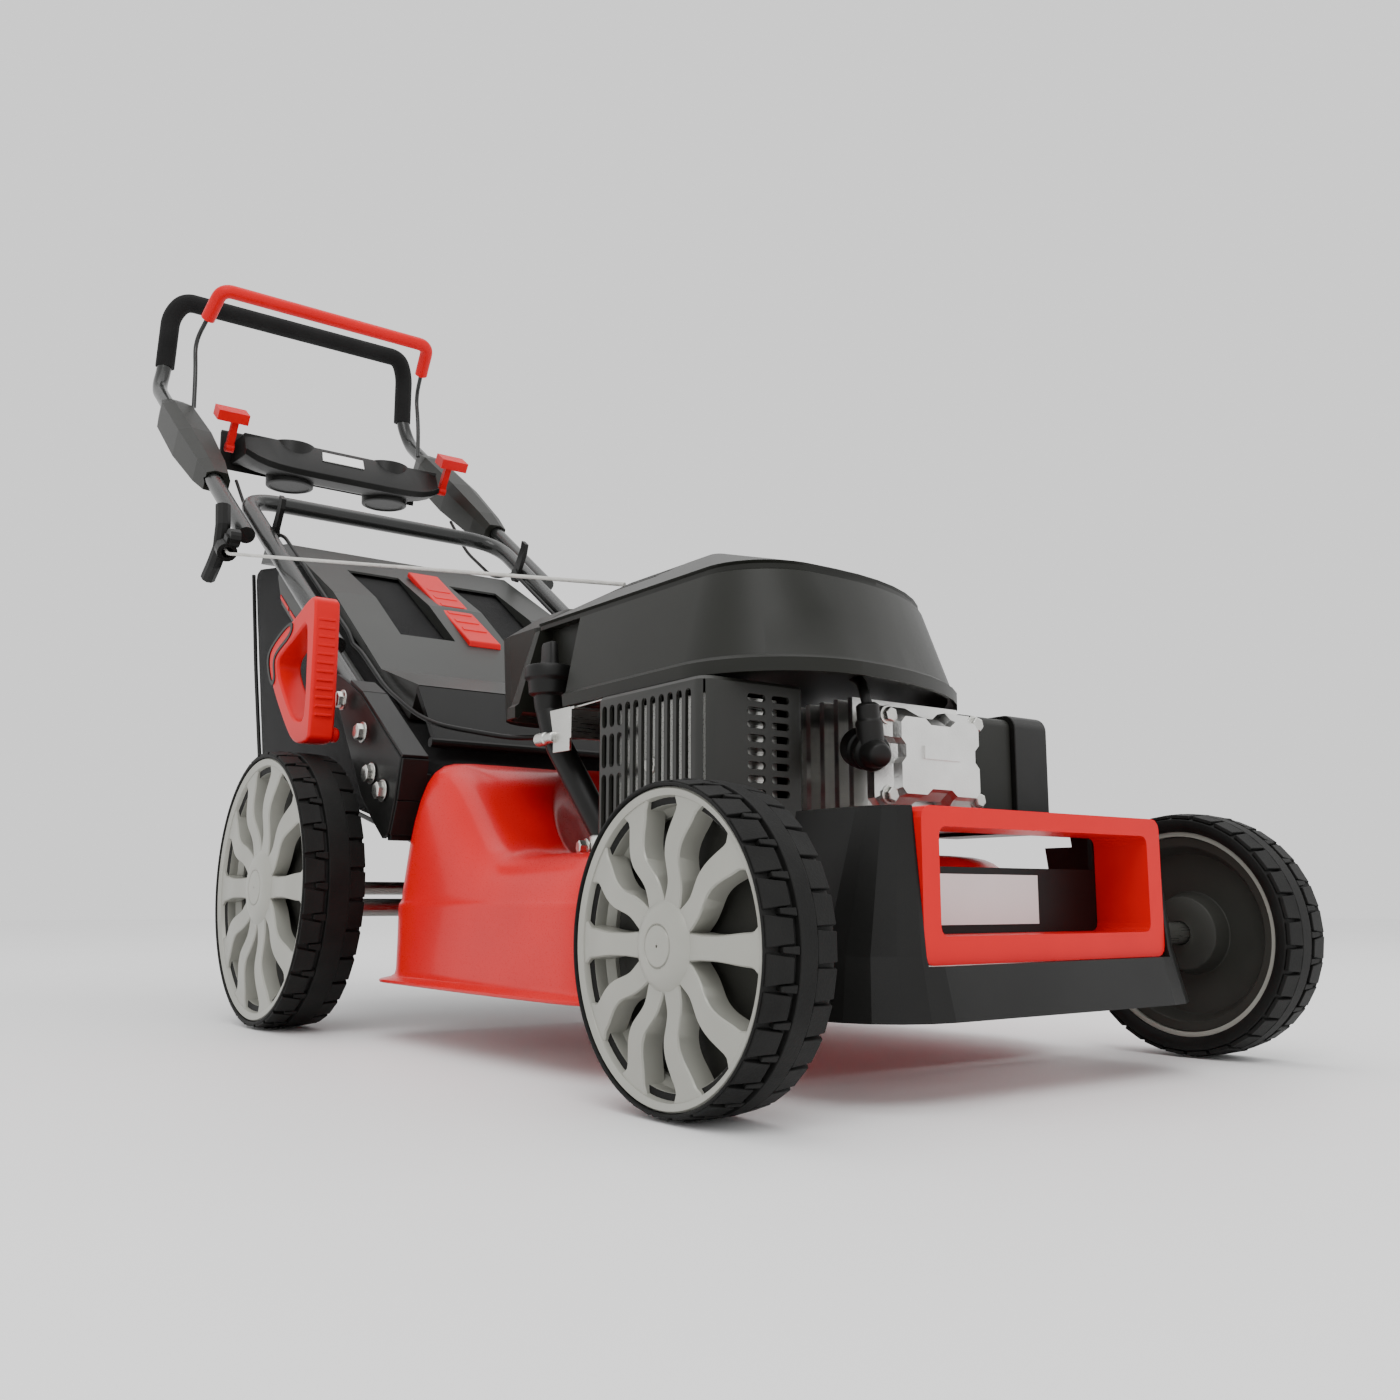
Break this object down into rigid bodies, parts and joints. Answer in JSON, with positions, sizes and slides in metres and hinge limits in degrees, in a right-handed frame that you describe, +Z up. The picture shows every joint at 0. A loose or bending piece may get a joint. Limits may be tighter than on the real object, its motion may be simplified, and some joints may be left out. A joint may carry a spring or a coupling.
{
  "type": "push lawn mower",
  "caption": "Petrol push lawn mower with a pressed steel deck, moulded front cover, spoked wheels, folding handle with bail and levers, height lever and rear grass bag.",
  "frame": {"origin": "centre of the footprint on the ground, under the middle of the overall box", "axes": "+Z up, -Y towards the front of the mower, +X towards the left of the mower"},
  "size_m": [0.608, 1.696, 1.1607],
  "materials": {
    "aluminium": "cast",
    "bag_fabric": "woven",
    "black_plastic": "satin",
    "dark_plastic": "satin",
    "gunmetal": "gloss",
    "red_paint": "gloss",
    "red_plastic": "semi-gloss",
    "rope": "braided",
    "rubber": "matt",
    "silver_plastic": "satin",
    "steel": "satin",
    "tyre_rubber": "matt",
    "white_plate": "satin"
  },
  "bodies": {
    "chassis": {"deck": "red_paint", "front_cover": "black_plastic", "front_grip": "red_plastic", "label_plate": "white_plate", "bracket_right": "black_plastic", "bracket_left": "black_plastic", "drive_belt": "rubber", "crankcase": "aluminium", "cylinder": "aluminium", "valve_cover": "aluminium", "plug_boot": "black_plastic", "engine_shroud": "dark_plastic", "fuel_tank": "dark_plastic", "muffler": "steel", "muffler_guard": "dark_plastic", "carburettor": "aluminium", "air_filter_base": "black_plastic", "air_filter_cover": "black_plastic", "oil_filler_tube": "black_plastic", "governor_stay": "steel", "starter_rope": "rope", "control_cable": "black_plastic", "drive_cable": "black_plastic"},
    "front_wheel_right": {"tyre_front_right": "tyre_rubber", "wheel_front_right": "silver_plastic"},
    "front_wheel_left": {"tyre_front_left": "tyre_rubber", "wheel_front_left": "silver_plastic"},
    "rear_wheel_right": {"tyre_rear_right": "tyre_rubber", "wheel_rear_right": "silver_plastic"},
    "rear_wheel_left": {"tyre_rear_left": "tyre_rubber", "wheel_rear_left": "silver_plastic"},
    "front_axle_body": {"front_axle": "steel"},
    "rear_axle_body": {"rear_axle": "steel", "gearbox": "aluminium"},
    "pulley_body": {"gearbox_pulley": "black_plastic"},
    "link_body": {"height_link": "steel"},
    "lever_body": {"height_lever": "red_plastic"},
    "cutter": {"crankshaft": "steel", "blade_carrier": "steel", "blade": "steel", "flywheel": "aluminium"},
    "flap_body": {"rear_flap": "black_plastic"},
    "bag": {"bag_lid": "dark_plastic", "grass_bag": "bag_fabric"},
    "fuel_cap_body": {"fuel_cap": "black_plastic"},
    "oil_cap_body": {"oil_cap": "black_plastic"},
    "lower_handle_body": {"lower_handle": "gunmetal"},
    "upper_handle_body": {"upper_handle": "gunmetal", "foam_grip": "rubber", "side_cover_right": "dark_plastic", "side_cover_left": "dark_plastic", "console": "black_plastic", "rope_guide": "black_plastic"},
    "bail_body": {"bail": "red_plastic"},
    "drive_lever_body": {"drive_lever": "red_plastic"},
    "throttle_lever_body": {"throttle_lever": "red_plastic"},
    "clamp_right_body": {"clamp_right": "black_plastic"},
    "clamp_left_body": {"clamp_left": "black_plastic"},
    "recoil_body": {"recoil_grip": "black_plastic"}
  },
  "joints": [
    {"name": "front_height", "type": "hinge", "parent": "chassis", "child": "front_axle_body", "pos_m": [0, -0.69136, 0.08], "axis": [1, 0, 0], "range_deg": [0, 49.5]},
    {"name": "rear_height", "type": "hinge", "parent": "chassis", "child": "rear_axle_body", "pos_m": [0, -0.10756, 0.12], "axis": [1, 0, 0], "range_deg": [-49.5, 0], "deforming": ["drive_belt"]},
    {"name": "height_set", "type": "hinge", "parent": "chassis", "child": "lever_body", "pos_m": [-0.245, -0.09596, 0.296], "axis": [1, 0, 0], "range_deg": [0, 45]},
    {"name": "height_link_slide", "type": "slide", "parent": "chassis", "child": "link_body", "axis": [0, -1, 0], "range_m": [0, 0.0228]},
    {"name": "front_right_roll", "type": "hinge", "parent": "front_axle_body", "child": "front_wheel_right", "pos_m": [-0.262, -0.74796, 0.1], "axis": [1, 0, 0], "continuous": true},
    {"name": "front_left_roll", "type": "hinge", "parent": "front_axle_body", "child": "front_wheel_left", "pos_m": [0.262, -0.74796, 0.1], "axis": [1, 0, 0], "continuous": true},
    {"name": "rear_right_roll", "type": "hinge", "parent": "rear_axle_body", "child": "rear_wheel_right", "pos_m": [-0.27, -0.05096, 0.14], "axis": [1, 0, 0], "continuous": true},
    {"name": "rear_left_roll", "type": "hinge", "parent": "rear_axle_body", "child": "rear_wheel_left", "pos_m": [0.27, -0.05096, 0.14], "axis": [1, 0, 0], "continuous": true},
    {"name": "blade_spin", "type": "hinge", "parent": "chassis", "child": "cutter", "pos_m": [0, -0.42796, 0.08], "axis": [0, 0, 1], "continuous": true},
    {"name": "pulley_spin", "type": "hinge", "parent": "rear_axle_body", "child": "pulley_body", "pos_m": [0.042, -0.05096, 0.1], "axis": [0, 0, 1], "continuous": true},
    {"name": "flap_lift", "type": "hinge", "parent": "chassis", "child": "flap_body", "pos_m": [0, -0.18296, 0.285], "axis": [1, 0, 0], "range_deg": [0, 45]},
    {"name": "bag_lift_off", "type": "slide", "parent": "chassis", "child": "bag", "axis": [0, 1, 0], "range_m": [0, 0.5]},
    {"name": "fuel_cap_off", "type": "slide", "parent": "chassis", "child": "fuel_cap_body", "axis": [0, 0, 1], "range_m": [0, 0.06]},
    {"name": "oil_cap_off", "type": "slide", "parent": "chassis", "child": "oil_cap_body", "axis": [0, 0.489, 0.8723], "range_m": [0, 0.02]},
    {"name": "handle_fold", "type": "hinge", "parent": "chassis", "child": "lower_handle_body", "pos_m": [0, 0.03304, 0.42], "axis": [1, 0, 0], "range_deg": [0, 100], "deforming": ["starter_rope", "control_cable", "drive_cable"]},
    {"name": "upper_fold", "type": "hinge", "parent": "lower_handle_body", "child": "upper_handle_body", "pos_m": [0, 0.30918, 0.61581], "axis": [1, 0, 0], "range_deg": [-80, 0], "deforming": ["starter_rope", "control_cable", "drive_cable"]},
    {"name": "bail_squeeze", "type": "hinge", "parent": "upper_handle_body", "child": "bail_body", "pos_m": [0, 0.70983, 0.92046], "axis": [1, 0, 0], "range_deg": [-38, 0], "stiffness_Nm_per_rad": 1.5, "springref_deg": 34.38},
    {"name": "drive_lever_swing", "type": "hinge", "parent": "upper_handle_body", "child": "drive_lever_body", "pos_m": [-0.176, 0.56669, 0.81459], "axis": [1, 0, 0], "range_deg": [-20, 20]},
    {"name": "throttle_swing", "type": "hinge", "parent": "upper_handle_body", "child": "throttle_lever_body", "pos_m": [0.176, 0.56669, 0.81459], "axis": [1, 0, 0], "range_deg": [-20, 20]},
    {"name": "clamp_right_open", "type": "hinge", "parent": "lower_handle_body", "child": "clamp_right_body", "pos_m": [-0.184, 0.30918, 0.61581], "axis": [1, 0, 0], "range_deg": [-60, 0]},
    {"name": "clamp_left_open", "type": "hinge", "parent": "lower_handle_body", "child": "clamp_left_body", "pos_m": [0.184, 0.30918, 0.61581], "axis": [1, 0, 0], "range_deg": [-60, 0]},
    {"name": "rope_pull", "type": "slide", "parent": "upper_handle_body", "child": "recoil_body", "axis": [-0.15, 0.8079, 0.5699], "range_m": [0, 0.35], "stiffness_N_per_m": 15, "springref_m": -0.1, "deforming": ["starter_rope"]}
  ],
  "couplings": [
    {"joint": "front_height", "follows": "height_set", "ratio": 1.1},
    {"joint": "rear_height", "follows": "height_set", "ratio": -1.1},
    {"joint": "height_link_slide", "follows": "height_set", "m_per_rad": 0.029},
    {"joint": "pulley_spin", "follows": "blade_spin", "ratio": 0.9}
  ]
}
